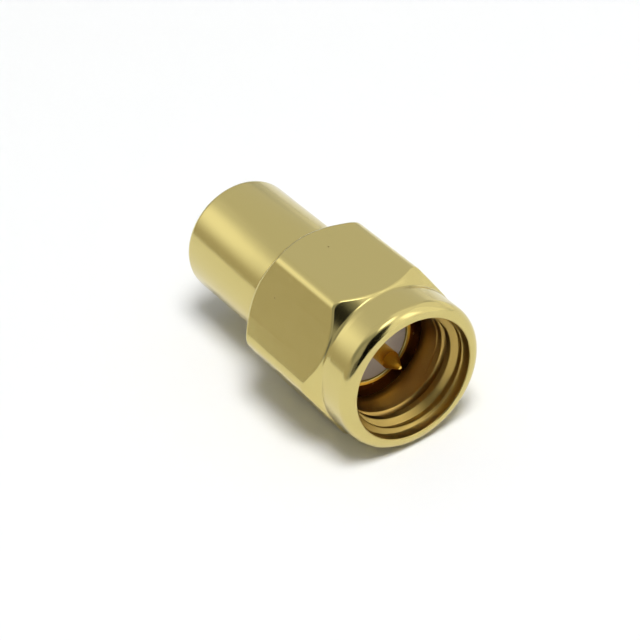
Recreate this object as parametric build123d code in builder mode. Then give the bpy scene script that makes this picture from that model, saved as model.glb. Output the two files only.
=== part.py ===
from build123d import *
import os
from math import cos, radians, tan

# Coaxial termination: a load behind a plug with a screw-on coupling nut. Millimetres.
# +X runs along the axis towards the mating end and +Z is up. The origin is on the axis in the
# reference plane, where the outer conductor of the mating socket butts against the plug.
# The part lies on one flat of its nut, so two flats face +Z and -Z.

# Coupling nut, turned from hexagonal bar. Its radii step outwards from the barrel that it turns
# on, up to 8 mm across flats.
nut_reach = 3.48  # front face ahead of the reference plane
nut_grip = 2.72  # length behind the nut's inner step
thread_rise = 0.13  # thread crests outside the nut's rear bore
relief_depth = 0.42  # groove behind the thread, below the crests
relief_length = 2.2
mouth_step = 0.44  # counterbore in front of the thread, below the crests
mouth_depth = 0.7
lead_angle = 45  # cones at both ends of the threaded length
collar_wall = 0.65
collar_length = 2.28
flat_rise = 0.08  # flats outside the collar
hex_corner_radius = 0.2
shoulder_angle = 50  # front cone against the axis
rear_face_step = 0.05  # edge of the rear face inside the flats
rear_chamfer_angle = 42  # rear cone against the axis
rim_radius = 0.3
edge_break = 0.08

# Retaining ring, a split ring that carries the nut on the plug body
ring_setback = 1.2  # middle of the ring behind the nut's inner step
ring_width = 0.55
ring_thickness = 0.5
ring_stand_out = 0.3  # how far the ring stands out of the body
ring_edge_radius = 0.06
ring_split_angle = 24
ring_play = 0.05  # round the ring in both grooves
nut_float = 0.15  # travel of nut and ring each way along the axis

# Plug body, the outer conductor. All the radii outside its bore follow from that bore.
sleeve_bore_diameter = 4.12
sleeve_wall = 0.24
sleeve_length = 2.2
barrel_rise = 0.35  # barrel outside the sleeve
barrel_edge = 0.12
bead_seat = 0.3  # step behind the dielectric
spigot_step = 0.25  # spigot inside the barrel
spigot_wall = 0.5
spigot_lead = 0.2

# Centre contact and its dielectric bead
bead_length = 2.2
pin_diameter = 0.92
pin_reach = 2.36  # pin tip ahead of the reference plane
pin_cone_length = 0.95
pin_tip_diameter = 0.16
contact_recess = 0.05  # contact's shoulder behind the reference plane
contact_diameter = 1.27
contact_web = 0.5  # solid length between the bead and the resistor socket
socket_depth = 1.0
socket_wall = 0.18
socket_slot_width = 0.16

# Load resistor: a ceramic rod with a metal cap at each end
rod_diameter = 1.0
resistor_length = 5.4
end_cap_wall = 0.1
end_cap_length = 0.9

# Resistor holder, the grounded plug that draws heat from the rod
line_gap = 0.5  # open length between the contact and the holder
holder_lip = 0.12
holder_base = 0.7

# Tail cap, the closed round barrel behind the nut, 6.24 mm across
tail_length = 6.8
tail_wall = 0.7
tail_base = 1.2
tail_edge_radius = 0.35
tail_mouth_edge = 0.1

# Fits
running_gap = 0.05  # radius, nut on body
seat_gap = 0.02  # radius, pieces pressed or soldered together
stop_gap = 0.02  # beyond the float at the ring's groove
tail_gap = 0.05  # beyond the float between nut and tail

# Stations along the axis
nut_front = nut_reach
nut_step = -sleeve_length
nut_rear = nut_step - nut_grip
mouth_floor = nut_front - mouth_depth
relief_front = nut_step + relief_length
collar_foot = nut_front - collar_length
ring_middle = nut_step - ring_setback
barrel_front = -sleeve_length
tail_front = nut_rear - nut_float - tail_gap
tail_rear = tail_front - tail_length
tail_floor = tail_rear + tail_base
bead_back = -bead_length
resistor_front = bead_back - contact_web
resistor_rear = resistor_front - resistor_length
socket_rear = resistor_front - socket_depth
holder_front = socket_rear - line_gap
holder_rear = resistor_rear - holder_base
spigot_rear = holder_rear

# Radii, from the sleeve outwards to the nut
sleeve_bore_radius = sleeve_bore_diameter / 2
sleeve_radius = sleeve_bore_radius + sleeve_wall
barrel_radius = sleeve_radius + barrel_rise
ring_outer_radius = barrel_radius + ring_stand_out
ring_inner_radius = ring_outer_radius - ring_thickness
nut_bore_radius = barrel_radius + running_gap
thread_radius = nut_bore_radius + thread_rise
relief_radius = thread_radius + relief_depth
mouth_radius = thread_radius + mouth_step
collar_radius = mouth_radius + collar_wall
flat_radius = collar_radius + flat_rise
rear_face_radius = flat_radius - rear_face_step

# Radii inside the sleeve, and of the resistor
bead_radius = sleeve_bore_radius - seat_gap
line_radius = sleeve_bore_radius - bead_seat
contact_radius = contact_diameter / 2
rod_radius = rod_diameter / 2
cap_bore_radius = rod_radius + seat_gap
cap_radius = cap_bore_radius + end_cap_wall
grip_radius = cap_radius + seat_gap
socket_radius = grip_radius + socket_wall

# Radii of the tail, its spigot and the holder in that
spigot_radius = barrel_radius - spigot_step
tail_bore_radius = spigot_radius + seat_gap
tail_radius = tail_bore_radius + tail_wall
spigot_bore_radius = spigot_radius - spigot_wall
holder_radius = spigot_bore_radius - seat_gap
taper_radius = holder_radius - holder_lip


def turn(*profile, mode=Mode.ADD):
    """Turn a closed half profile of (station, radius) points about the axis."""
    with BuildSketch(Plane.XZ) as half:
        with BuildLine():
            Polyline(*profile, close=True)
        make_face()
    revolve(half.sketch, axis=Axis.X, mode=mode)


def bore(front, rear, radius):
    """Cut a plain round bore between two stations."""
    turn((front, 0), (front, radius), (rear, radius), (rear, 0), mode=Mode.SUBTRACT)


def finish(piece, name):
    """Label a finished piece and write it."""
    piece.part.label = name
    export_step(piece.part, f"parts/{name}.step")


os.makedirs("parts", exist_ok=True)

# Coupling nut: a hexagonal bar, turned down to the collar in front and chamfered behind
hex_corner = flat_radius / cos(radians(30))
shoulder_run = (hex_corner - collar_radius) / tan(radians(shoulder_angle))
rear_chamfer_run = (hex_corner - rear_face_radius) / tan(radians(rear_chamfer_angle))
mouth_lead = (mouth_radius - thread_radius) / tan(radians(lead_angle))
relief_lead = (relief_radius - thread_radius) / tan(radians(lead_angle))

with BuildPart() as coupling_nut:
    with BuildSketch(Plane.YZ.offset(nut_rear)) as bar:
        RegularPolygon(flat_radius, 6, major_radius=False)
        fillet(bar.vertices(), hex_corner_radius)
    extrude(amount=nut_front - nut_rear)
    turn(
        (nut_rear, 0),
        (nut_rear, rear_face_radius),
        (nut_rear + rear_chamfer_run, hex_corner),
        (collar_foot - shoulder_run, hex_corner),
        (collar_foot, collar_radius),
        (nut_front, collar_radius),
        (nut_front, 0),
        mode=Mode.INTERSECT,
    )
    rim = coupling_nut.faces().sort_by(Axis.X)[-1]
    fillet(rim.outer_wire().edges(), rim_radius)
    turn(
        (nut_front, 0),
        (nut_front, mouth_radius),
        (mouth_floor, mouth_radius),
        (mouth_floor - mouth_lead, thread_radius),
        (relief_front + relief_lead, thread_radius),
        (relief_front, relief_radius),
        (nut_step, relief_radius),
        (nut_step, nut_bore_radius),
        (nut_rear, nut_bore_radius),
        (nut_rear, 0),
        mode=Mode.SUBTRACT,
    )
    nut_groove = ring_width / 2 + ring_play
    bore(ring_middle + nut_groove, ring_middle - nut_groove, ring_outer_radius + ring_play)
    mouth_and_rear = coupling_nut.faces().filter_by(Axis.X).sort_by(Axis.X)
    chamfer(mouth_and_rear[-1].inner_wires().edges(), edge_break)
    chamfer(mouth_and_rear[0].inner_wires().edges(), edge_break)
finish(coupling_nut, "coupling_nut")

# Retaining ring: sprung into the nut's groove and free to slide in the wider one of the body
with BuildPart() as retaining_ring:
    with BuildSketch(Plane.XZ):
        with Locations((ring_middle, (ring_inner_radius + ring_outer_radius) / 2)):
            RectangleRounded(ring_width, ring_thickness, ring_edge_radius)
    revolve(axis=Axis.X, revolution_arc=360 - ring_split_angle)
finish(retaining_ring, "retaining_ring")

# Plug body: sleeve, grooved barrel inside the nut, and the spigot that carries the tail
with BuildPart() as plug_body:
    body_groove = ring_width / 2 + nut_float + stop_gap
    groove_radius = ring_inner_radius - ring_play
    turn(
        (0, 0),
        (0, sleeve_radius),
        (barrel_front, sleeve_radius),
        (barrel_front, barrel_radius - barrel_edge),
        (barrel_front - barrel_edge, barrel_radius),
        (ring_middle + body_groove, barrel_radius),
        (ring_middle + body_groove, groove_radius),
        (ring_middle - body_groove, groove_radius),
        (ring_middle - body_groove, barrel_radius),
        (tail_front, barrel_radius),
        (tail_front, spigot_radius),
        (spigot_rear + spigot_lead, spigot_radius),
        (spigot_rear, spigot_radius - spigot_lead),
        (spigot_rear, 0),
    )
    bore(0, bead_back, sleeve_bore_radius)
    bore(bead_back, holder_front, line_radius)
    bore(holder_front, spigot_rear, spigot_bore_radius)
finish(plug_body, "plug_body")

# Front dielectric: a plain bead, flush with the end of the sleeve
with BuildPart() as front_dielectric:
    turn((0, 0), (0, bead_radius), (bead_back, bead_radius), (bead_back, 0))
    bore(0, bead_back, contact_radius + seat_gap)
finish(front_dielectric, "front_dielectric")

# Centre contact: pin, shank through the bead, and a slotted socket for the resistor
with BuildPart() as centre_contact:
    turn(
        (pin_reach, 0),
        (pin_reach, pin_tip_diameter / 2),
        (pin_reach - pin_cone_length, pin_diameter / 2),
        (-contact_recess, pin_diameter / 2),
        (-contact_recess, contact_radius),
        (bead_back, contact_radius),
        (bead_back, socket_radius),
        (socket_rear, socket_radius),
        (socket_rear, 0),
    )
    bore(resistor_front, socket_rear, grip_radius)
    with BuildSketch(Plane.YZ.offset(socket_rear)):
        for turned in (0, 90):
            Rectangle(2 * socket_radius, socket_slot_width, rotation=turned)
    extrude(amount=socket_depth, mode=Mode.SUBTRACT)
finish(centre_contact, "centre_contact")

# Load resistor
with BuildPart() as resistor_rod:
    rod_front = resistor_front - end_cap_wall
    rod_rear = resistor_rear + end_cap_wall
    turn((rod_front, 0), (rod_front, rod_radius), (rod_rear, rod_radius), (rod_rear, 0))
finish(resistor_rod, "resistor_rod")

for name, end, inward in (
    ("resistor_front_cap", resistor_front, -1),
    ("resistor_rear_cap", resistor_rear, 1),
):
    with BuildPart() as end_cap:
        mouth = end + inward * end_cap_length
        floor = end + inward * end_cap_wall
        turn((end, 0), (end, cap_radius), (mouth, cap_radius), (mouth, 0))
        bore(floor, mouth, cap_bore_radius)
    finish(end_cap, name)

# Resistor holder: tapers from the line's bore down to the rod, then grips the rear cap
with BuildPart() as resistor_holder:
    grip_front = resistor_rear + end_cap_length
    turn((holder_front, 0), (holder_front, holder_radius), (holder_rear, holder_radius), (holder_rear, 0))
    turn(
        (holder_front, 0),
        (holder_front, taper_radius),
        (grip_front, grip_radius),
        (resistor_rear, grip_radius),
        (resistor_rear, 0),
        mode=Mode.SUBTRACT,
    )
finish(resistor_holder, "resistor_holder")

# Tail cap: a deep cup pressed over the spigot up to the end of the barrel
with BuildPart() as tail_cap:
    turn((tail_front, 0), (tail_front, tail_radius), (tail_rear, tail_radius), (tail_rear, 0))
    fillet(tail_cap.edges().sort_by(Axis.X)[0], tail_edge_radius)
    chamfer(tail_cap.edges().sort_by(Axis.X)[-1], tail_mouth_edge)
    bore(tail_front, tail_floor, tail_bore_radius)
finish(tail_cap, "tail_cap")
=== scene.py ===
"""A coaxial termination: the finished look of its pieces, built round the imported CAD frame."""

import math
from functools import partial

import bpy
import numpy as np
from bpy.props import FloatProperty, FloatVectorProperty, IntProperty, PointerProperty
from bpy.types import Operator, Panel, PropertyGroup
from mathutils import Matrix, Vector


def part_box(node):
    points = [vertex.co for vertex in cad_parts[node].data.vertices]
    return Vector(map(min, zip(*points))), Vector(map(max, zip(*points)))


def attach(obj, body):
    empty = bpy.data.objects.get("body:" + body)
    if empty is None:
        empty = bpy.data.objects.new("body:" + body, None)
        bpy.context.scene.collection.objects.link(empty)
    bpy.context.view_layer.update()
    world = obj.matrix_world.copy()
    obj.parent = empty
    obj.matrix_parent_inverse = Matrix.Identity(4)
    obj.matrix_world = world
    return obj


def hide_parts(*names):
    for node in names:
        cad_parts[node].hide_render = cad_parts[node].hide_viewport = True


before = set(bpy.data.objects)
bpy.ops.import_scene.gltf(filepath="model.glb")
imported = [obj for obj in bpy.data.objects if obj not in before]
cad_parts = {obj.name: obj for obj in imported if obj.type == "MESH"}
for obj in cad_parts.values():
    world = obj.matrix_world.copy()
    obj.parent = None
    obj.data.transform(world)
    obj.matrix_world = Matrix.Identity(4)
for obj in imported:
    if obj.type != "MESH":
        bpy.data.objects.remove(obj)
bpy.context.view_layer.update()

bl_info = {
    "name": "Coaxial Termination",
    "version": (1, 0, 0),
    "blender": (4, 5, 0),
    "location": "View3D > Sidebar > Termination",
    "description": "Builds the plated and moulded pieces of a coaxial termination and its stage",
    "category": "Object",
}

MM = 0.001
WELD = 1e-7  # points closer than this become one
FLATS = 6  # of the hexagonal bar
GATHER = 0.6  # how far the nut's columns draw together at the bar's corners, 0 to 1

nut_low, nut_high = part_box("coupling_nut")
body_low, body_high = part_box("plug_body")
bead_low, bead_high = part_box("front_dielectric")
contact_low, contact_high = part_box("centre_contact")
tail_low, tail_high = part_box("tail_cap")


# Properties


def length(name, description, default):
    """A length in metres."""
    return FloatProperty(
        name=name, description=description, default=default,
        subtype="DISTANCE", unit="LENGTH", precision=6,
    )


def angle(name, description, degrees):
    """An angle, given in degrees."""
    return FloatProperty(
        name=name, description=description, default=math.radians(degrees),
        subtype="ANGLE", unit="ROTATION",
    )


def share(name, description, default):
    """A plain number, such as a roughness or a light level."""
    return FloatProperty(name=name, description=description, default=default, min=0.0)


def colour(name, description, default):
    """A linear colour."""
    return FloatVectorProperty(
        name=name, description=description, default=default,
        subtype="COLOR", size=3, min=0.0, max=1.0,
    )


class NutSizes(PropertyGroup):
    """Sizes of the coupling nut. Stations run along +X from the reference plane."""

    front: length("Front face", "Station of the front face", nut_high.x)
    rear: length("Rear face", "Station of the rear face", nut_low.x)
    flat_radius: length("Flat radius", "Distance of a flat from the axis", nut_high.z)
    corner_rounding: length("Corner rounding", "Radius on the corners of the bar", 0.7 * MM)
    collar_radius: length("Collar radius", "Outside radius of the front collar", 3.92 * MM)
    collar_foot: length("Collar foot", "Station where the collar meets the front cone", 1.43 * MM)
    shoulder_angle: angle("Shoulder angle", "Front cone against the axis", 40)
    neck_depth: length("Neck depth", "Depth of the turned neck between cone and collar", 0.02 * MM)
    neck_width: length("Neck width", "Length of that neck", 0.35 * MM)
    rear_face_radius: length("Rear face radius", "Outside radius of the rear face", 3.8 * MM)
    rear_angle: angle("Rear chamfer angle", "Rear cone against the axis", 42)
    rim_rounding: length("Rim rounding", "Radius on the outside of the rim", 0.56 * MM)
    lip_rounding: length("Lip rounding", "Radius on the inside of the rim", 0.06 * MM)
    edge_rounding: length("Edge rounding", "Softness of the tumbled and plated edges", 0.3 * MM)
    mouth_radius: length("Mouth radius", "Radius of the counterbore", 3.23 * MM)
    mouth_floor: length("Mouth floor", "Station where the counterbore ends", 2.95 * MM)
    relief_radius: length("Relief radius", "Radius of the groove behind the thread", 3.25 * MM)
    relief_front: length("Relief front", "Station where that groove starts", 0.0)
    inner_step: length("Inner step", "Station of the step behind the groove", -2.2 * MM)
    bore_radius: length("Bore radius", "Radius of the rear bore", 2.7 * MM)
    ring_groove_front: length("Ring groove front", "Front of the ring's groove", -3.075 * MM)
    ring_groove_rear: length("Ring groove rear", "Rear of the ring's groove", -3.725 * MM)
    ring_groove_radius: length("Ring groove radius", "Radius of the ring's groove", 3.0 * MM)
    columns: IntProperty(name="Columns", description="Faces round the nut", default=384)


class ThreadSizes(PropertyGroup):
    """Sizes of the helical coupling thread."""

    pitch: length("Pitch", "Advance in one turn", 25.4 / 36 * MM)
    crest_radius: length("Crest radius", "Radius at the crests", 2.83 * MM)
    root_radius: length("Root radius", "Radius at the roots", 3.17 * MM)
    crest_width: length("Crest width", "Width of the flat on a crest", 0.33 * MM)
    flank_angle: angle("Flank angle", "Flank against the square of the axis", 30)
    front_lead: angle("Front lead", "Cone in front of the thread, against the axis", 45)
    rear_lead: angle("Rear lead", "Cone behind the bore, against the axis", 75)
    thread_start: length("Thread start", "Station where the first crest fades in", 2.89 * MM)
    fade_in: length("Fade-in", "Advance over which it reaches its height", 0.25 * MM)
    thread_end: length("Thread end", "Station where the thread has run out into the bore", 1.3 * MM)
    run_out: angle("Run-out", "Rise of the grooves from that station, against the axis", 45)
    first_crest: length("First crest", "Station of a crest on the +Y side", 2.3 * MM)
    softness: length("Softness", "Rounding of crests and roots", 0.03 * MM)
    rows: IntProperty(name="Rows", description="Rows of faces in one pitch", default=24)


class BodySizes(PropertyGroup):
    """Sizes of the plug body, the bead inside its sleeve and the tail behind it."""

    sleeve_radius: length("Sleeve radius", "Outside radius of the sleeve", 2.3 * MM)
    sleeve_bore: length("Sleeve bore", "Radius of the sleeve's bore", 2.06 * MM)
    sleeve_foot: length("Sleeve foot", "Station where the sleeve meets the barrel", -2.2 * MM)
    barrel_radius: length("Barrel radius", "Radius that the nut turns on", body_high.z)
    groove_front: length("Groove front", "Front of the ring's groove in the barrel", -2.955 * MM)
    groove_rear: length("Groove rear", "Rear of the ring's groove in the barrel", -3.845 * MM)
    groove_radius: length("Groove radius", "Radius at the groove's floor", 2.4 * MM)
    line_radius: length("Line radius", "Radius of the bore behind the bead", 1.76 * MM)
    holder_seat: length("Holder seat", "Station where the holder starts", -4.2 * MM)
    spigot_radius: length("Spigot radius", "Radius that the tail is pressed on", 2.4 * MM)
    spigot_bore: length("Spigot bore", "Radius of the holder's seat", 1.9 * MM)
    spigot_rear: length("Spigot rear", "Rear end of the spigot", body_low.x)
    bead_radius: length("Bead radius", "Outside radius of the bead", bead_high.z)
    bead_bore: length("Bead bore", "Radius of the bead's bore", 0.655 * MM)
    bead_rear: length("Bead rear", "Rear face of the bead", bead_low.x)
    tail_front: length("Tail front", "Station of the tail's mouth", tail_high.x)
    tail_rear: length("Tail rear", "Station of the tail's closed end", tail_low.x)
    tail_radius: length("Tail radius", "Outside radius of the tail", tail_high.z)
    tail_bore: length("Tail bore", "Radius inside the tail", 2.42 * MM)
    tail_floor: length("Tail floor", "Station of the floor inside the tail", -10.72 * MM)
    tail_rounding: length("Tail rounding", "Radius on the tail's rear edge", 0.35 * MM)
    edge: length("Edge", "Softness of the small edges", 0.05 * MM)
    columns: IntProperty(name="Columns", description="Faces round a turned piece", default=256)


class ContactSizes(PropertyGroup):
    """Sizes of the centre contact."""

    tip: length("Tip", "Station of the pin's tip", contact_high.x)
    tip_radius: length("Tip radius", "Radius at the blunt tip", 0.08 * MM)
    pin_radius: length("Pin radius", "Radius of the pin", 0.46 * MM)
    cone_foot: length("Cone foot", "Station where the cone meets the pin", 1.56 * MM)
    shoulder: length("Shoulder", "Station of the shoulder behind the pin", -0.05 * MM)
    shank_radius: length("Shank radius", "Radius of the shank in the bead", 0.635 * MM)
    socket_front: length("Socket front", "Station where the socket's wall starts", -2.2 * MM)
    socket_floor: length("Socket floor", "Station of the floor inside the socket", -2.7 * MM)
    socket_rear: length("Socket rear", "Rear end of the socket", contact_low.x)
    socket_radius: length("Socket radius", "Outside radius of the socket", contact_high.z)
    socket_bore: length("Socket bore", "Radius inside the socket", 0.64 * MM)
    slot_width: length("Slot width", "Width of the socket's two crossed slots", 0.16 * MM)
    edge: length("Edge", "Softness of the small edges", 0.05 * MM)
    columns: IntProperty(name="Columns", description="Faces round the contact", default=192)


class Finishes(PropertyGroup):
    """Colours of the finishes."""

    gold: colour("Gold plate", "Plating of the outside pieces", (0.62, 0.52, 0.2))
    # Painted shade: these three tones darken and redden the nut's plating inside its bore, for the shade
    # and the gold's reddened reflections deep in it.
    shaded_thread_gold: colour("Thread gold", "Painted deeper shade on the thread's plating", (0.43, 0.3, 0.085))
    shaded_bore_gold: colour("Bore gold", "Painted reddish shade on the plating behind the thread", (0.68, 0.39, 0.1))
    shaded_groove_gold: colour("Groove gold", "Painted dark shade in the groove behind the bore", (0.3, 0.12, 0.03))
    contact_gold: colour("Contact gold", "Thicker plating of the contact", (0.8, 0.51, 0.09))
    bronze: colour("Spring bronze", "Retaining ring", (0.62, 0.42, 0.22))
    # Painted shade: a warm grey, darker than white PTFE, for the shade on the bead deep in the nut's
    # mouth.
    insulator: colour("Insulator", "Fluoropolymer of the bead, greyed with painted shade", (0.7, 0.62, 0.55))
    ceramic: colour("Ceramic", "Resistor rod", (0.88, 0.87, 0.84))
    cap_metal: colour("Cap metal", "Tinned caps of the resistor", (0.72, 0.71, 0.69))
    bare_brass: colour("Bare brass", "Turned holder", (0.72, 0.55, 0.26))


class StudioSettings(PropertyGroup):
    """Camera, floor and light."""

    camera_place: FloatVectorProperty(
        name="Camera place", description="Position of the camera", size=3,
        default=(78.147 * MM, -49.178 * MM, 70.934 * MM), subtype="TRANSLATION", unit="LENGTH",
    )
    lens: FloatProperty(
        name="Lens", description="Focal length in millimetres", default=137.26, unit="CAMERA",
    )
    floor_level: length("Floor level", "Height of the floor", nut_low.z)
    floor_reach: length("Floor reach", "Half the side of the floor", 3.0)
    floor_colour: colour("Floor colour", "White paper", (0.93, 0.93, 0.93))
    room_colour: colour("Room colour", "Colour of the light all round", (0.97, 1.0, 1.0))
    room_level: share("Room level", "Light all round", 0.34)
    softbox_distance: length("Softbox distance", "From the object to the softboxes", 0.7)
    flag_distance: length("Flag distance", "From the object to the flags", 0.5)
    panel_gap: length("Panel gap", "From one softbox or flag to the next behind it", 20 * MM)


# Meshes

LEAST_REACH = 1e-12  # keeps two sharp corners from dividing by nothing
SIDE_SHARE = 0.95  # most of a side that the arcs at its two ends may take


def soften(corners):
    """Refine a section given as (station, radius, rounding, steps): each corner becomes an arc.

    A corner with no steps stays sharp. Arcs that would meet on a short side are made smaller.
    """
    columns = max(np.size(value) for corner in corners for value in corner[:2])
    points = np.array([[np.broadcast_to(value, columns) for value in corner[:2]] for corner in corners])
    back = np.roll(points, 1, axis=0) - points
    ahead = np.roll(points, -1, axis=0) - points
    back_length = np.hypot(back[:, 0], back[:, 1])
    ahead_length = np.hypot(ahead[:, 0], ahead[:, 1])
    back = back / back_length[:, None]
    ahead = ahead / ahead_length[:, None]
    half = np.arccos(np.clip((back * ahead).sum(axis=1), -1, 1)) / 2
    reach = np.array([[corner[2]] for corner in corners]) / np.tan(half) + LEAST_REACH
    room = np.minimum(
        back_length / (reach + np.roll(reach, 1, axis=0)),
        ahead_length / (reach + np.roll(reach, -1, axis=0)),
    )
    reach = reach * np.minimum(1, SIDE_SHARE * room)
    rows = []
    for index, (_, _, _, steps) in enumerate(corners):
        here = points[index]
        if not steps:
            rows.append(here)
            continue
        start = here + back[index] * reach[index]
        end = here + ahead[index] * reach[index]
        pull = np.sin(half[index])
        for along in np.linspace(0, 1, steps + 1):
            weights = (1 - along) ** 2, 2 * pull * along * (1 - along), along**2
            blend = start * weights[0] + here * weights[1] + end * weights[2]
            rows.append(blend / sum(weights))
    return np.array(rows)


def gathered_angles(columns, corners, gather):
    """Angles round the axis, closer together at the corners of a bar."""
    even = np.arange(columns) * math.tau / columns
    return even - gather / corners * np.sin(corners * even)


def bar_radii(angles, flat_radius, corner_rounding):
    """Distances from the axis to the surface of a hexagonal bar with rounded corners."""
    half_flat = math.pi / FLATS
    off_corner = np.abs((angles * FLATS / math.tau + 0.5) % 1 - 0.5) * math.tau / FLATS
    flat = flat_radius / np.cos(half_flat - off_corner)
    centre = (flat_radius - corner_rounding) / math.cos(half_flat)
    tangent = math.atan2(
        corner_rounding * math.sin(half_flat), centre + corner_rounding * math.cos(half_flat)
    )
    across = np.minimum((centre * np.sin(off_corner)) ** 2, corner_rounding**2)
    corner = centre * np.cos(off_corner) + np.sqrt(corner_rounding**2 - across)
    return np.where(off_corner < tangent, corner, flat)


def ring_mesh(name, rows, angles, closed):
    """A mesh through rings of (station, radius), from the front, outside first, to the rear."""
    count, columns = rows.shape[0], len(angles)
    stations = np.broadcast_to(rows[:, 0], (count, columns))
    radii = np.broadcast_to(rows[:, 1], (count, columns))
    places = np.stack([stations, radii * np.cos(angles), radii * np.sin(angles)], axis=-1)
    strips = count if closed else count - 1
    ring = np.arange(strips)[:, None]
    after = (ring + 1) % count
    column = np.arange(columns)[None, :]
    beside = (column + 1) % columns
    here, there = ring * columns, after * columns
    faces = np.stack([here + column, there + column, there + beside, here + beside], axis=-1)
    mesh = bpy.data.meshes.new(name)
    mesh.from_pydata(places.reshape(-1, 3).tolist(), [], faces.reshape(-1, 4).tolist())
    mesh.shade_smooth()
    return mesh


def draft(name, mesh):
    """An object in the scene for a mesh."""
    made = bpy.data.objects.new(name, mesh)
    bpy.context.collection.objects.link(made)
    return made


def modify(made, kind, **settings):
    """Put a modifier on a draft."""
    modifier = made.modifiers.new(kind.lower(), kind)
    for key, value in settings.items():
        setattr(modifier, key, value)
    return modifier


def settle(made):
    """Turn a draft and its modifiers into a plain mesh."""
    bpy.context.view_layer.update()
    graph = bpy.context.evaluated_depsgraph_get()
    mesh = bpy.data.meshes.new_from_object(made.evaluated_get(graph))
    made.modifiers.clear()
    made.data = mesh
    mesh.name = made.name
    return made


def block(front, rear, width, height):
    """Points, edges and faces of a box across the axis."""
    points = [
        (x, y * width / 2, z * height / 2) for x in (rear, front) for y in (-1, 1) for z in (-1, 1)
    ]
    faces = [(0, 1, 3, 2), (4, 6, 7, 5), (0, 4, 5, 1), (2, 3, 7, 6), (0, 2, 6, 4), (1, 5, 7, 3)]
    return points, [], faces


def turned(name, corners, material, columns, closed=True):
    """A turned piece: a softened section swept round the axis, with its poles closed."""
    mesh = ring_mesh(name, soften(corners), np.arange(columns) * math.tau / columns, closed)
    made = draft(name, mesh)
    mesh.materials.append(material)
    modify(made, "WELD", merge_threshold=WELD)
    modify(made, "WEIGHTED_NORMAL", keep_sharp=True, weight=50)
    return settle(made)


# Node trees


def feed(tree, socket, value):
    """Give an input a value, or wire it to another node's output."""
    if isinstance(value, bpy.types.NodeSocket):
        tree.links.new(value, socket)
    else:
        socket.default_value = value


def node(tree, kind, inputs=None, **settings):
    """Add a node with its own settings, and feed its inputs."""
    made = tree.nodes.new(kind)
    for key, value in settings.items():
        setattr(made, key, value)
    for key, value in (inputs or {}).items():
        feed(tree, made.inputs[key], value)
    return made


def calc(tree, operation, *terms):
    """The result of one Math node."""
    return node(tree, "ShaderNodeMath", dict(enumerate(terms)), operation=operation).outputs[0]


def new_tree(name, kind, inputs, outputs):
    """A node group with named sockets, and its inputs."""
    tree = bpy.data.node_groups.new(name, kind)
    for in_out, sockets in (("INPUT", inputs), ("OUTPUT", outputs)):
        for label, socket in sockets:
            tree.interface.new_socket(label, in_out=in_out, socket_type="NodeSocket" + socket)
    return tree, tree.nodes.new("NodeGroupInput").outputs


def give_outputs(tree, **outputs):
    """Wire the outputs of a node group."""
    end = tree.nodes.new("NodeGroupOutput")
    for label, socket in outputs.items():
        tree.links.new(socket, end.inputs[label])


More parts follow.
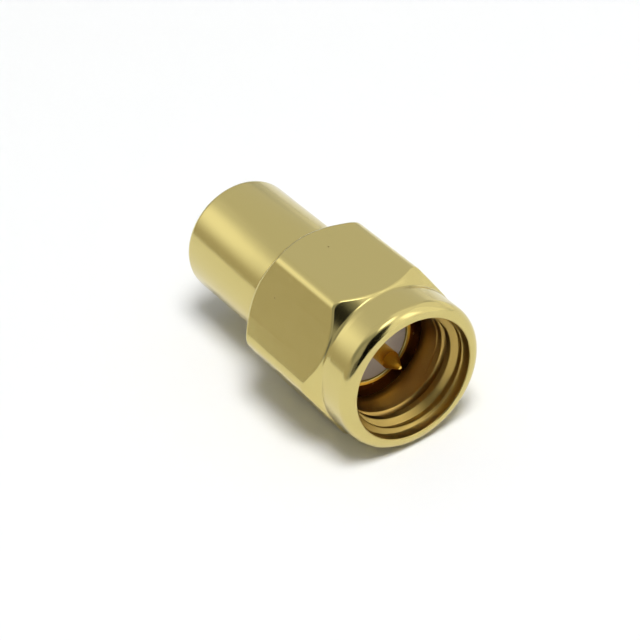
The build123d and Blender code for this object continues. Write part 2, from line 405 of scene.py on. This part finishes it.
def thread_tree():
    """Geometry Nodes that close a nut's bore with a helical thread that runs out at both ends."""
    sizes = (
        "Pitch", "Crest Radius", "Root Radius", "Crest Width", "Flank Angle", "Front Lead", "Rear Lead",
        "Thread Start", "Fade-in", "Thread End", "Run-out", "First Crest", "Softness",
        "Front Station", "Front Radius", "Rear Station", "Rear Radius", "Gather",
    )
    counts = ("Rows in a Pitch", "Columns", "Bar Corners")
    tree, given = new_tree(
        "helical_thread",
        "GeometryNodeTree",
        (
            ("Geometry", "Geometry"),
            *((label, "Float") for label in sizes),
            *((label, "Int") for label in counts),
            ("Material", "Material"),
        ),
        (("Geometry", "Geometry"),),
    )
    add, subtract, multiply, divide, tangent, smooth_max, smooth_min = (
        partial(calc, tree, operation)
        for operation in ("ADD", "SUBTRACT", "MULTIPLY", "DIVIDE", "TANGENT", "SMOOTH_MAX", "SMOOTH_MIN")
    )
    front, rear, pitch, soft = (
        given[label] for label in ("Front Station", "Rear Station", "Pitch", "Softness")
    )

    # A flat sheet, one turn wide, with one pitch more than the bore is long
    rows = divide(subtract(front, rear), pitch)
    rows = calc(tree, "CEIL", multiply(add(rows, 1.0), given["Rows in a Pitch"]))
    sheet = node(
        tree, "GeometryNodeMeshGrid",
        {
            "Size X": 1.0, "Size Y": 1.0,
            "Vertices X": add(given["Columns"], 1.0), "Vertices Y": add(rows, 1.0),
        },
    )
    place = node(tree, "ShaderNodeSeparateXYZ", {0: node(tree, "GeometryNodeInputPosition").outputs[0]})

    # Its columns go round the axis, closer together at the bar's corners
    even = multiply(add(place.outputs["X"], 0.5), math.tau)
    swing = calc(tree, "SINE", multiply(even, given["Bar Corners"]))
    around = subtract(even, multiply(swing, divide(given["Gather"], given["Bar Corners"])))
    turn = divide(around, math.tau)

    # Its rows climb with the helix, and those past an end of the bore lie on that end
    row = calc(tree, "ROUND", multiply(add(place.outputs["Y"], 0.5), rows))
    row = subtract(divide(row, given["Rows in a Pitch"]), 1.0)
    station = calc(tree, "MULTIPLY_ADD", add(row, turn), pitch, rear)
    station = calc(tree, "MINIMUM", calc(tree, "MAXIMUM", station, rear), front)

    # The nearest crest: how far off it is in pitches, and its own station
    lag = subtract(divide(subtract(station, given["First Crest"]), pitch), turn)
    wind = calc(tree, "ROUND", lag)
    crest = calc(tree, "MULTIPLY_ADD", add(wind, turn), pitch, given["First Crest"])
    lag = calc(tree, "ABSOLUTE", subtract(lag, wind))

    # The vee between crests, with crests that rise from nothing at the thread's start
    beyond = subtract(multiply(lag, pitch), multiply(given["Crest Width"], 0.5))
    flank = add(divide(beyond, tangent(given["Flank Angle"])), given["Crest Radius"])
    vee = smooth_max(flank, given["Crest Radius"], soft)
    vee = smooth_min(vee, given["Root Radius"], soft)
    rise = node(
        tree, "ShaderNodeMapRange",
        {
            "Value": crest, "From Min": given["Thread Start"],
            "From Max": subtract(given["Thread Start"], given["Fade-in"]),
        },
    ).outputs[0]
    vee = subtract(given["Root Radius"], multiply(subtract(given["Root Radius"], vee), rise))

    # The grooves run out into the plain bore, and a cone leads in at each end
    cut = calc(tree, "MAXIMUM", subtract(station, given["Thread End"]), 0.0)
    cut = multiply(cut, tangent(given["Run-out"]))
    vee = smooth_min(vee, add(cut, given["Crest Radius"]), soft)
    front_cone = multiply(subtract(station, front), tangent(given["Front Lead"]))
    rear_cone = multiply(subtract(rear, station), tangent(given["Rear Lead"]))
    cones = calc(
        tree, "MAXIMUM", add(front_cone, given["Front Radius"]), add(rear_cone, given["Rear Radius"])
    )
    radius = smooth_max(vee, cones, soft)

    # The wall is wound up, joined to the rest of the nut and finished
    wound = node(
        tree, "ShaderNodeCombineXYZ",
        {
            "X": station, "Y": multiply(radius, calc(tree, "COSINE", around)),
            "Z": multiply(radius, calc(tree, "SINE", around)),
        },
    )
    wall = node(
        tree, "GeometryNodeSetPosition",
        {"Geometry": sheet.outputs["Mesh"], "Position": wound.outputs[0]},
    )
    wall = node(tree, "GeometryNodeFlipFaces", {"Mesh": wall.outputs[0]})
    joined = node(tree, "GeometryNodeJoinGeometry")
    tree.links.new(given["Geometry"], joined.inputs[0])
    tree.links.new(wall.outputs[0], joined.inputs[0])
    whole = node(
        tree, "GeometryNodeMergeByDistance", {"Geometry": joined.outputs[0], "Distance": 10 * WELD}
    )
    whole = node(tree, "GeometryNodeSetShadeSmooth", {0: whole.outputs[0]})
    whole = node(tree, "GeometryNodeRealizeInstances", {"Geometry": whole.outputs[0]})
    whole = node(
        tree, "GeometryNodeSetMaterial", {"Geometry": whole.outputs[0], "Material": given["Material"]}
    )
    give_outputs(tree, Geometry=whole.outputs[0])
    return tree


# Patterns on the metals. Their scales are per millimetre.
RIPPLE_SCALE = 0.9
GRAIN_SCALE = 16.0
GRAIN_SHARE = 0.1  # height of the grain, as a share of the ripple's
PIT_SCALE = 1.3
PITLESS_SHARE = 0.55  # share of the cells that could hold a pit and don't
PIT_FLOOR = 0.4  # flat floor of a pit, as a share of its radius
PIT_SHADE = 0.3  # tone in a pit, as a share of the metal's
PIT_ROUGHNESS = 0.3  # added in a pit
RINGS = 14.0
CLOUD_TONE = 0.03  # how far the tone drifts each way
CLOUD_ROUGHNESS = (0.85, 0.3)  # least share of the roughness, and the share that clouds add
RELIEF = 0.004 * MM  # height of the whole pattern
# Edges of the three masks for the painted shade in a nut's bore.
BORE_SHADE_EDGES = ((0.08, -0.02), (0.7, -0.7), (0.05, -0.1))  # mm before and behind each bore mask's place


def plating_skin():
    """Shader group: the faint ripple, grain and rare pits of barrel plating."""
    amounts = ("Ripple Scale", "Ripple", "Grain Scale", "Grain", "Pit Scale", "Pit Size")
    tree, given = new_tree(
        "plating_skin",
        "ShaderNodeTree",
        (("Vector", "Vector"), *((label, "Float") for label in amounts)),
        (("Height", "Float"), ("Cloud", "Float"), ("Pits", "Float")),
    )
    vector = given["Vector"]
    ripple = node(
        tree, "ShaderNodeTexNoise",
        {"Vector": vector, "Scale": given["Ripple Scale"], "Detail": 1.0, "Roughness": 0.4},
    )
    grain = node(
        tree, "ShaderNodeTexNoise",
        {"Vector": vector, "Scale": given["Grain Scale"], "Detail": 3.0, "Roughness": 0.55},
    )
    cell = node(
        tree, "ShaderNodeTexVoronoi",
        {"Vector": vector, "Scale": given["Pit Scale"], "Randomness": 1.0},
    )
    chance = node(tree, "ShaderNodeSeparateColor", {0: cell.outputs["Color"]})
    size = calc(tree, "MULTIPLY", given["Pit Size"], chance.outputs[0])
    size = calc(tree, "MULTIPLY", size, calc(tree, "GREATER_THAN", chance.outputs[1], PITLESS_SHARE))
    pits = node(
        tree, "ShaderNodeMapRange",
        {
            "Value": cell.outputs["Distance"], "From Min": calc(tree, "MULTIPLY", size, PIT_FLOOR),
            "From Max": calc(tree, "ADD", size, 0.0001), "To Min": 1.0, "To Max": 0.0,
        },
    ).outputs[0]
    height = calc(tree, "MULTIPLY", ripple.outputs[0], given["Ripple"])
    height = calc(tree, "MULTIPLY_ADD", grain.outputs[0], given["Grain"], height)
    height = calc(tree, "SUBTRACT", height, pits)
    give_outputs(tree, Height=height, Cloud=grain.outputs[0], Pits=pits)
    return tree


def distance_from_axis(tree, parts):
    """The distance of a place from the X axis."""
    out = calc(tree, "POWER", parts.outputs["Y"], 2.0)
    return calc(tree, "SQRT", calc(tree, "ADD", out, calc(tree, "POWER", parts.outputs["Z"], 2.0)))


def turning_marks():
    """Shader group: fine rings that a lathe tool leaves round the axis."""
    tree, given = new_tree(
        "turning_marks",
        "ShaderNodeTree",
        (("Vector", "Vector"), ("Rings", "Float"), ("Depth", "Float")),
        (("Height", "Float"),),
    )
    parts = node(tree, "ShaderNodeSeparateXYZ", {0: given["Vector"]})
    along = calc(tree, "ADD", parts.outputs["X"], distance_from_axis(tree, parts))
    along = calc(tree, "MULTIPLY", along, given["Rings"])
    rings = node(
        tree, "ShaderNodeTexNoise",
        {"W": along, "Scale": 1.0, "Detail": 2.0, "Roughness": 0.6}, noise_dimensions="1D",
    )
    give_outputs(tree, Height=calc(tree, "MULTIPLY", rings.outputs[0], given["Depth"]))
    return tree


def mix_colours(tree, factor, first, second):
    """The mix of two colours."""
    made = node(tree, "ShaderNodeMix", data_type="RGBA")
    for place, value in ((0, factor), (6, first), (7, second)):
        feed(tree, made.inputs[place], value)
    return made.outputs[2]


def scaled(tone, factor):
    """A colour made darker or lighter, with its alpha."""
    return (*[min(1.0, factor * part) for part in tone], 1.0)


def new_material(name):
    """A Principled material, and its piece's own coordinates in mm."""
    material = bpy.data.materials.new(name)
    material.use_nodes = True
    tree = material.node_tree
    place = node(tree, "ShaderNodeTexCoord").outputs["Object"]
    place = node(tree, "ShaderNodeVectorMath", {0: place, "Scale": 1 / MM}, operation="SCALE")
    return material, tree, tree.nodes["Principled BSDF"], place.outputs[0]


def bore_shade_masks(tree, place, edges, rear):
    """Masks for painted shade on a nut's plating: in its bore, behind the thread, and in the groove behind
    the bore.

    Each of the three has its edge as (start, end): the radius at which the bore starts, and the
    stations at which the other two do. The rear is where the bore ends. All are in millimetres.
    """
    parts = node(tree, "ShaderNodeSeparateXYZ", {0: place})
    station = parts.outputs["X"]
    masks = []
    for measure, (start, end) in zip((distance_from_axis(tree, parts), station, station), edges):
        mask = node(tree, "ShaderNodeMapRange", {"Value": measure, "From Min": start, "From Max": end})
        masks.append(mask.outputs[0])
    inside = calc(tree, "MULTIPLY", masks[0], calc(tree, "GREATER_THAN", station, rear))
    return inside, *[calc(tree, "MULTIPLY", mask, inside) for mask in masks[1:]]


def metal(name, tone, roughness, ripple, rings, pit_size=0.0, bore=None):
    """A plated or turned metal with its ripple, grain, pits and turning marks.

    A bore has its painted shade tones, edges and a rear for their masks, and a roughness of its own.
    """
    material, tree, shader, place = new_material(name)
    skin = node(
        tree, "ShaderNodeGroup",
        {
            "Vector": place, "Ripple Scale": RIPPLE_SCALE, "Ripple": ripple,
            "Grain Scale": GRAIN_SCALE, "Grain": GRAIN_SHARE * ripple,
            "Pit Scale": PIT_SCALE, "Pit Size": pit_size,
        },
        node_tree=bpy.data.node_groups["plating_skin"],
    )
    lathe = node(
        tree, "ShaderNodeGroup", {"Vector": place, "Rings": RINGS, "Depth": rings},
        node_tree=bpy.data.node_groups["turning_marks"],
    )
    cloud, pits = skin.outputs["Cloud"], skin.outputs["Pits"]
    plated = mix_colours(tree, cloud, scaled(tone, 1 - CLOUD_TONE), scaled(tone, 1 + CLOUD_TONE))
    least, added = CLOUD_ROUGHNESS
    rough = calc(tree, "MULTIPLY_ADD", cloud, added * roughness, least * roughness)
    pit_tone = tone
    if bore:
        masks = bore_shade_masks(tree, place, bore["edges"], bore["rear"])
        # Painted shade: the bore's darker tones replace the plating where their masks lie.
        for mask, bore_shade_tone in zip(masks, bore["tones"]):
            plated = mix_colours(tree, mask, plated, scaled(bore_shade_tone, 1.0))
        rough = calc(tree, "MULTIPLY_ADD", masks[0], bore["roughness"] - roughness, rough)
        # Pits on this metal take a share of the groove's painted dark tone, the darkest of the bore's.
        pit_tone = bore["tones"][-1]
    pitted = mix_colours(tree, pits, plated, scaled(pit_tone, PIT_SHADE))
    feed(tree, shader.inputs["Base Color"], pitted)
    shader.inputs["Metallic"].default_value = 1.0
    rough = calc(tree, "MULTIPLY_ADD", pits, PIT_ROUGHNESS, rough)
    feed(tree, shader.inputs["Roughness"], rough)
    height = calc(tree, "ADD", skin.outputs["Height"], lathe.outputs["Height"])
    relief = node(tree, "ShaderNodeBump", {"Height": height, "Strength": 1.0, "Distance": RELIEF})
    feed(tree, shader.inputs["Normal"], relief.outputs[0])
    return material


def moulded(name, tone, roughness, speckle_scale, speckle, depth):
    """A pale moulded or fired material; its faint speckle also roughens it by 0.1 each way."""
    material, tree, shader, place = new_material(name)
    speckles = node(
        tree, "ShaderNodeTexNoise",
        {"Vector": place, "Scale": speckle_scale, "Detail": 4.0, "Roughness": 0.6},
    ).outputs[0]
    feed(
        tree, shader.inputs["Base Color"],
        mix_colours(tree, speckles, scaled(tone, 1 - speckle), scaled(tone, 1 + speckle)),
    )
    rough = calc(tree, "MULTIPLY_ADD", speckles, 0.2, roughness - 0.1)
    feed(tree, shader.inputs["Roughness"], rough)
    relief = node(tree, "ShaderNodeBump", {"Height": speckles, "Strength": 1.0, "Distance": depth})
    feed(tree, shader.inputs["Normal"], relief.outputs[0])
    return material


# Operators


def stand_for(made, body, cad_node):
    """Let a finished piece ride on its body and stand for its CAD node."""
    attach(made, body)
    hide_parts(cad_node)


class TERMINATION_OT_finishes(Operator):
    """Make the materials, and dress the CAD nodes that stay"""

    bl_idname = "termination.finishes"
    bl_label = "Finishes"

    def execute(self, context):
        tones = context.scene.termination_finishes
        nut = context.scene.termination_nut
        thread_end = context.scene.termination_thread.thread_end
        places = [place / MM for place in (nut.mouth_radius, thread_end, nut.relief_front)]
        # Painted shade in the nut's bore: its three darker tones, where their masks start and end, and a
        # rougher finish there.
        bore = {
            "tones": (tones.shaded_thread_gold, tones.shaded_bore_gold, tones.shaded_groove_gold),
            "edges": [(at + before, at + behind) for at, (before, behind) in zip(places, BORE_SHADE_EDGES)],
            "rear": nut.inner_step / MM - 0.01,
            "roughness": 0.32,
        }
        plating_skin()
        turning_marks()
        gold = {"roughness": 0.15, "ripple": 1.0, "rings": 0.12, "pit_size": 0.09}
        metal("bright_gold", tones.gold, **gold)
        metal("threaded_gold", tones.gold, **gold, bore=bore)
        metal("thick_gold", tones.contact_gold, roughness=0.2, ripple=0.6, rings=0.2)
        metal("rolled_bronze", tones.bronze, roughness=0.3, ripple=0.8, rings=0.3)
        metal("tinned_cap", tones.cap_metal, roughness=0.35, ripple=1.0, rings=0.1)
        metal("turned_brass", tones.bare_brass, roughness=0.28, ripple=0.6, rings=0.8)
        moulded("fluoropolymer", tones.insulator, 0.45, speckle_scale=9.0, speckle=0.03, depth=0.002 * MM)
        moulded("fired_ceramic", tones.ceramic, 0.55, speckle_scale=14.0, speckle=0.04, depth=0.003 * MM)
        for cad_node, finish in (
            ("retaining_ring", "rolled_bronze"),
            ("resistor_rod", "fired_ceramic"),
            ("resistor_front_cap", "tinned_cap"),
            ("resistor_rear_cap", "tinned_cap"),
            ("resistor_holder", "turned_brass"),
        ):
            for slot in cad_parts[cad_node].material_slots:
                slot.material = bpy.data.materials[finish]
        return {"FINISHED"}


class TERMINATION_OT_coupling_nut(Operator):
    """Turn the hexagonal nut and cut its helical thread"""

    bl_idname = "termination.coupling_nut"
    bl_label = "Coupling Nut"

    def execute(self, context):
        nut = context.scene.termination_nut
        thread = context.scene.termination_thread
        angles = gathered_angles(nut.columns, FLATS, GATHER)
        bar = bar_radii(angles, nut.flat_radius, nut.corner_rounding)
        shoulder = nut.collar_foot - (bar - nut.collar_radius) / math.tan(nut.shoulder_angle)
        heel = nut.rear + (bar - nut.rear_face_radius) / math.tan(nut.rear_angle)
        soft = nut.edge_rounding
        section = (
            (nut.mouth_floor, nut.mouth_radius, 0, 0),
            (nut.front, nut.mouth_radius, nut.lip_rounding, 6),
            (nut.front, nut.collar_radius, nut.rim_rounding, 12),
            (nut.collar_foot + nut.neck_width, nut.collar_radius, soft, 4),
            (nut.collar_foot, nut.collar_radius - nut.neck_depth, soft, 6),
            (shoulder, bar, soft, 8),
            (heel, bar, soft, 8),
            (nut.rear, nut.rear_face_radius, soft, 6),
            (nut.rear, nut.bore_radius, nut.lip_rounding, 4),
            (nut.ring_groove_rear, nut.bore_radius, 0, 0),
            (nut.ring_groove_rear, nut.ring_groove_radius, 0, 0),
            (nut.ring_groove_front, nut.ring_groove_radius, 0, 0),
            (nut.ring_groove_front, nut.bore_radius, 0, 0),
            (nut.inner_step, nut.bore_radius, nut.lip_rounding, 4),
            (nut.inner_step, nut.relief_radius, nut.lip_rounding, 4),
            (nut.relief_front, nut.relief_radius, 0, 0),
        )
        made = draft("hex_nut", ring_mesh("hex_nut", soften(section), angles, False))
        tree = thread_tree()
        wind = modify(made, "NODES", node_group=tree)
        values = {
            "Pitch": thread.pitch,
            "Crest Radius": thread.crest_radius,
            "Root Radius": thread.root_radius,
            "Crest Width": thread.crest_width,
            "Flank Angle": thread.flank_angle,
            "Front Lead": thread.front_lead,
            "Rear Lead": thread.rear_lead,
            "Thread Start": thread.thread_start,
            "Fade-in": thread.fade_in,
            "Thread End": thread.thread_end,
            "Run-out": thread.run_out,
            "First Crest": thread.first_crest,
            "Softness": thread.softness,
            "Front Station": nut.mouth_floor,
            "Front Radius": nut.mouth_radius,
            "Rear Station": nut.relief_front,
            "Rear Radius": nut.relief_radius,
            "Rows in a Pitch": thread.rows,
            "Columns": nut.columns,
            "Bar Corners": FLATS,
            "Gather": GATHER,
            "Material": bpy.data.materials["threaded_gold"],
        }
        for socket in tree.interface.items_tree:
            if socket.in_out == "INPUT" and socket.name in values:
                wind[socket.identifier] = values[socket.name]
        settle(made)
        modify(made, "WEIGHTED_NORMAL", keep_sharp=True, weight=50)
        settle(made)
        stand_for(made, "coupling_nut", "coupling_nut")
        return {"FINISHED"}


class TERMINATION_OT_plug_body(Operator):
    """Turn the plug body: sleeve, grooved barrel and spigot"""

    bl_idname = "termination.plug_body"
    bl_label = "Plug Body"

    def execute(self, context):
        body = context.scene.termination_body
        edge = body.edge
        made = turned(
            "sleeve_and_barrel",
            (
                (0.0, body.sleeve_bore, 0.6 * edge, 3),
                (0.0, body.sleeve_radius, edge, 4),
                (body.sleeve_foot, body.sleeve_radius, edge, 3),
                (body.sleeve_foot, body.barrel_radius, 2 * edge, 5),
                (body.groove_front, body.barrel_radius, edge, 3),
                (body.groove_front, body.groove_radius, edge, 3),
                (body.groove_rear, body.groove_radius, edge, 3),
                (body.groove_rear, body.barrel_radius, edge, 3),
                (body.tail_front, body.barrel_radius, edge, 3),
                (body.tail_front, body.spigot_radius, 0, 0),
                (body.spigot_rear, body.spigot_radius, 4 * edge, 5),
                (body.spigot_rear, body.spigot_bore, edge, 3),
                (body.holder_seat, body.spigot_bore, 0, 0),
                (body.holder_seat, body.line_radius, edge, 3),
                (body.bead_rear, body.line_radius, edge, 3),
                (body.bead_rear, body.sleeve_bore, 0, 0),
            ),
            bpy.data.materials["bright_gold"],
            columns=body.columns,
        )
        stand_for(made, "plug", "plug_body")
        return {"FINISHED"}


class TERMINATION_OT_front_dielectric(Operator):
    """Mould the insulating bead"""

    bl_idname = "termination.front_dielectric"
    bl_label = "Front Dielectric"

    def execute(self, context):
        body = context.scene.termination_body
        edge = body.edge
        made = turned(
            "insulating_bead",
            (
                (0.0, body.bead_bore, edge, 3),
                (0.0, body.bead_radius, 3 * edge, 6),
                (body.bead_rear, body.bead_radius, edge, 3),
                (body.bead_rear, body.bead_bore, edge, 3),
            ),
            bpy.data.materials["fluoropolymer"],
            columns=body.columns,
        )
        stand_for(made, "plug", "front_dielectric")
        return {"FINISHED"}


class TERMINATION_OT_centre_contact(Operator):
    """Turn the pin, and slot its rear socket crosswise"""

    bl_idname = "termination.centre_contact"
    bl_label = "Centre Contact"

    def execute(self, context):
        pin = context.scene.termination_contact
        edge = pin.edge
        made = turned(
            "pin_and_socket",
            (
                (pin.tip, 0.0, 0, 0),
                (pin.tip, pin.tip_radius, edge, 6),
                (pin.cone_foot, pin.pin_radius, 0.3 * edge, 4),
                (pin.shoulder, pin.pin_radius, 0.4 * edge, 3),
                (pin.shoulder, pin.shank_radius, edge, 4),
                (pin.socket_front, pin.shank_radius, 0, 0),
                (pin.socket_front, pin.socket_radius, edge, 4),
                (pin.socket_rear, pin.socket_radius, edge, 4),
                (pin.socket_rear, pin.socket_bore, 0.4 * edge, 3),
                (pin.socket_floor, pin.socket_bore, edge, 4),
                (pin.socket_floor, 0.0, 0, 0),
            ),
            bpy.data.materials["thick_gold"],
            closed=False,
            columns=pin.columns,
        )
        slot_front = pin.socket_floor - 0.4 * edge  # off the floor's plane, for a clean cut
        slot_rear = 2 * pin.socket_rear - slot_front  # as far behind the socket as the slot is deep
        for turned_by in (0.0, math.pi / 2):
            mesh = bpy.data.meshes.new("slot")
            mesh.from_pydata(*block(slot_front, slot_rear, 3 * pin.socket_radius, pin.slot_width))
            mesh.transform(Matrix.Rotation(turned_by, 4, "X"))
            cutter = draft("slot", mesh)
            modify(made, "BOOLEAN", operation="DIFFERENCE", object=cutter, solver="EXACT")
            settle(made)
            bpy.data.objects.remove(cutter)
        stand_for(made, "plug", "centre_contact")
        return {"FINISHED"}


class TERMINATION_OT_tail_cap(Operator):
    """Turn the tail cap, a deep cup with a softly rounded closed end"""

    bl_idname = "termination.tail_cap"
    bl_label = "Tail Cap"

    def execute(self, context):
        body = context.scene.termination_body
        edge = body.edge
        made = turned(
            "tail_barrel",
            (
                (body.tail_floor, 0.0, 0, 0),
                (body.tail_floor, body.tail_bore, 3 * edge, 5),
                (body.tail_front, body.tail_bore, edge, 3),
                (body.tail_front, body.tail_radius, 2 * edge, 5),
                (body.tail_rear, body.tail_radius, body.tail_rounding, 12),
                (body.tail_rear, 0.0, 0, 0),
            ),
            bpy.data.materials["bright_gold"],
            closed=False,
            columns=body.columns,
        )
        stand_for(made, "plug", "tail_cap")
        return {"FINISHED"}


# The softboxes and the flags, nearest first, so that an earlier one hides a later one. Each has its
# azimuth from +X towards +Y and its elevation, half its width and height, all in degrees, the share of
# those halves over which its edge fades, and its level or, for a flag, how much it hides.
SOFTBOXES = {
    "overhead_light": (-10.0, 73.0, 14.0, 14.0, 0.5, 20.0),
    "overhead_card": (-8.0, 73.0, 17.0, 15.0, 0.8, 3.2),
    "rear_softbox": (-148.0, 29.0, 29.0, 22.0, 0.9, 1.34),
    "window": (31.0, 30.0, 9.0, 22.0, 0.6, 2.2),
    "front_softbox": (36.0, 24.0, 34.0, 38.0, 0.3, 1.15),
    "side_softbox": (106.0, 4.0, 44.0, 17.0, 0.7, 1.05),
    "back_softbox": (154.0, 38.0, 36.0, 30.0, 0.4, 0.72),
    "right_softbox": (84.0, 28.0, 34.0, 30.0, 0.4, 1.0),
    "crown_softbox": (80.0, 66.0, 46.0, 26.0, 0.4, 1.0),
    "top_softbox": (-160.0, 68.0, 34.0, 34.0, 0.5, 0.72),
    "horizon_softbox": (-124.0, 3.0, 48.0, 26.0, 0.4, 0.57),
    "left_softbox": (-64.0, 22.0, 30.0, 38.0, 0.5, 0.46),
}
FLAGS = {
    "black_flag": (-20.0, 20.0, 22.0, 34.0, 0.12, 1.0),
    "low_flag": (0.0, 1.0, 9.0, 12.0, 0.3, 1.0),
    "left_flag": (-50.0, 8.0, 18.0, 17.0, 0.35, 0.6),
}
FLOOR_LIGHT = "overhead_light"  # it lights the floor, and no metal mirrors it
WHITE = (1.0, 1.0, 1.0, 1.0)
BLACK = (0.0, 0.0, 0.0, 1.0)
TINTS = {"horizon_softbox": (1.0, 0.94, 0.8, 1.0)}
PANEL_STEPS = 8  # faces across a softbox or a flag
CAMERA_RIGHT = (0.5569, 0.8272, -0.0749)
CAMERA_UP = (-0.4655, 0.3856, 0.7966)


class TERMINATION_OT_stage(Operator):
    """Set the floor, the softboxes, the room's light and the camera"""

    bl_idname = "termination.stage"
    bl_label = "Stage"

    def execute(self, context):
        studio = context.scene.termination_studio
        self.floor(studio)
        for row, (name, (*spread, level)) in enumerate(SOFTBOXES.items()):
            distance = studio.softbox_distance + row * studio.panel_gap
            self.panel(name, distance, *spread, level, True)
        for row, (name, (*spread, cover)) in enumerate(FLAGS.items()):
            distance = studio.flag_distance + row * studio.panel_gap
            self.panel(name, distance, *spread, cover, False)
        world = bpy.data.worlds.new("room")
        world.use_nodes = True
        air = world.node_tree.nodes["Background"]
        air.inputs["Color"].default_value = (*studio.room_colour, 1.0)
        air.inputs["Strength"].default_value = studio.room_level
        context.scene.world = world
        self.camera(context, studio)
        context.scene.view_settings.view_transform = "Standard"
        return {"FINISHED"}

    def floor(self, studio):
        """A sheet of white paper under the object."""
        mesh = bpy.data.meshes.new("floor")
        reach, level = studio.floor_reach, studio.floor_level
        corners = [(x * reach, y * reach, level) for x, y in ((-1, -1), (1, -1), (1, 1), (-1, 1))]
        mesh.from_pydata(corners, [], [(0, 1, 2, 3)])
        paper = moulded(
            "white_paper", studio.floor_colour, 0.9, speckle_scale=2.0, speckle=0.004, depth=0.001 * MM
        )
        paper.node_tree.nodes["Principled BSDF"].inputs["Specular IOR Level"].default_value = 0.1
        mesh.materials.append(paper)
        floor = draft("floor", mesh)

    def panel(self, name, distance, azimuth, elevation, half_width, half_height, fade, level, glows):
        """A softbox or a flag, curved round the object and soft at its edges."""
        turn, rise = math.radians(azimuth), math.radians(elevation)
        out = Vector((math.cos(rise) * math.cos(turn), math.cos(rise) * math.sin(turn), math.sin(rise)))
        aim = out.to_track_quat("Z", "Y").to_matrix()
        width, height = (math.tan(math.radians(half)) for half in (half_width, half_height))
        steps = np.linspace(-1, 1, PANEL_STEPS + 1)
        places = [(x, y) for y in steps for x in steps]
        points = [
            distance * (out + aim @ Vector((x * width, y * height, 0))).normalized() for x, y in places
        ]
        row = PANEL_STEPS + 1
        faces = [(at, at + row, at + row + 1, at + 1) for at in range(PANEL_STEPS * row) if (at + 1) % row]
        mesh = bpy.data.meshes.new(name)
        mesh.from_pydata(points, [], faces)
        for loop, spot in zip(mesh.loops, mesh.uv_layers.new(name="cloth").data):
            spot.uv = places[loop.vertex_index]
        mesh.materials.append(self.cloth(name, fade, level, glows))
        made = draft(name, mesh)
        made.visible_camera = False
        made.visible_shadow = False
        made.visible_diffuse = name == FLOOR_LIGHT or not glows
        made.visible_glossy = name != FLOOR_LIGHT
        return made

    def cloth(self, name, fade, level, glows):
        """A glowing or black cloth that fades out at the edges of its panel."""
        material = bpy.data.materials.new(name)
        material.use_nodes = True
        tree = material.node_tree
        tree.nodes.clear()
        place = node(tree, "ShaderNodeUVMap", uv_map="cloth").outputs[0]
        sides = node(tree, "ShaderNodeSeparateXYZ", {0: place})
        cover = 1.0 if glows else level
        for side in ("X", "Y"):
            outward = calc(tree, "ABSOLUTE", sides.outputs[side])
            edge = node(
                tree, "ShaderNodeMapRange", {"Value": outward, "From Min": 1.0, "From Max": 1.0 - fade},
                interpolation_type="SMOOTHSTEP",
            )
            cover = calc(tree, "MULTIPLY", edge.outputs[0], cover)
        if glows:
            weave = node(
                tree, "ShaderNodeEmission", {"Color": TINTS.get(name, WHITE), "Strength": level}
            )
        else:
            weave = node(tree, "ShaderNodeBsdfDiffuse", {"Color": BLACK})
        clear = node(tree, "ShaderNodeBsdfTransparent")
        shown = node(tree, "ShaderNodeMixShader", {0: cover, 1: clear.outputs[0], 2: weave.outputs[0]})
        node(tree, "ShaderNodeOutputMaterial", {"Surface": shown.outputs[0]})
        return material

    def camera(self, context, studio):
        """A camera at the photograph's place and angle."""
        data = bpy.data.cameras.new("camera")
        data.sensor_width = 36.0
        data.lens = studio.lens
        data.clip_start = 5 * MM
        data.clip_end = 20.0
        made = bpy.data.objects.new("camera", data)
        context.collection.objects.link(made)
        right = Vector(CAMERA_RIGHT).normalized()
        back = right.cross(Vector(CAMERA_UP)).normalized()
        turn = Matrix((right, back.cross(right), back)).transposed().to_4x4()
        made.matrix_world = Matrix.Translation(studio.camera_place) @ turn
        context.scene.camera = made


class TERMINATION_PT_pieces(Panel):
    """The pieces of the termination and their sizes"""

    bl_idname = "TERMINATION_PT_pieces"
    bl_label = "Coaxial Termination"
    bl_space_type = "VIEW_3D"
    bl_region_type = "UI"
    bl_category = "Termination"

    def draw(self, context):
        layout = self.layout
        for step in STEPS:
            layout.operator(step.bl_idname)
        for name in SETTINGS:
            group = getattr(context.scene, name)
            box = layout.box()
            box.label(text=name.replace("_", " ").title())
            for key in group.__annotations__:
                box.prop(group, key)


SETTINGS = {
    "termination_nut": NutSizes,
    "termination_thread": ThreadSizes,
    "termination_body": BodySizes,
    "termination_contact": ContactSizes,
    "termination_finishes": Finishes,
    "termination_studio": StudioSettings,
}
STEPS = (
    TERMINATION_OT_finishes,
    TERMINATION_OT_coupling_nut,
    TERMINATION_OT_plug_body,
    TERMINATION_OT_front_dielectric,
    TERMINATION_OT_centre_contact,
    TERMINATION_OT_tail_cap,
    TERMINATION_OT_stage,
)


def register():
    """Add the classes, and the sizes to the scene."""
    for kind in (*SETTINGS.values(), *STEPS, TERMINATION_PT_pieces):
        bpy.utils.register_class(kind)
    for name, kind in SETTINGS.items():
        setattr(bpy.types.Scene, name, PointerProperty(type=kind))


def unregister():
    """Take the sizes and the classes away again."""
    for name in SETTINGS:
        delattr(bpy.types.Scene, name)
    for kind in (TERMINATION_PT_pieces, *reversed(STEPS), *SETTINGS.values()):
        bpy.utils.unregister_class(kind)


def main():
    """Build every piece and the stage."""
    register()
    bpy.ops.termination.finishes()
    bpy.ops.termination.coupling_nut()
    bpy.ops.termination.plug_body()
    bpy.ops.termination.front_dielectric()
    bpy.ops.termination.centre_contact()
    bpy.ops.termination.tail_cap()
    bpy.ops.termination.stage()


if __name__ == "__main__":
    main()
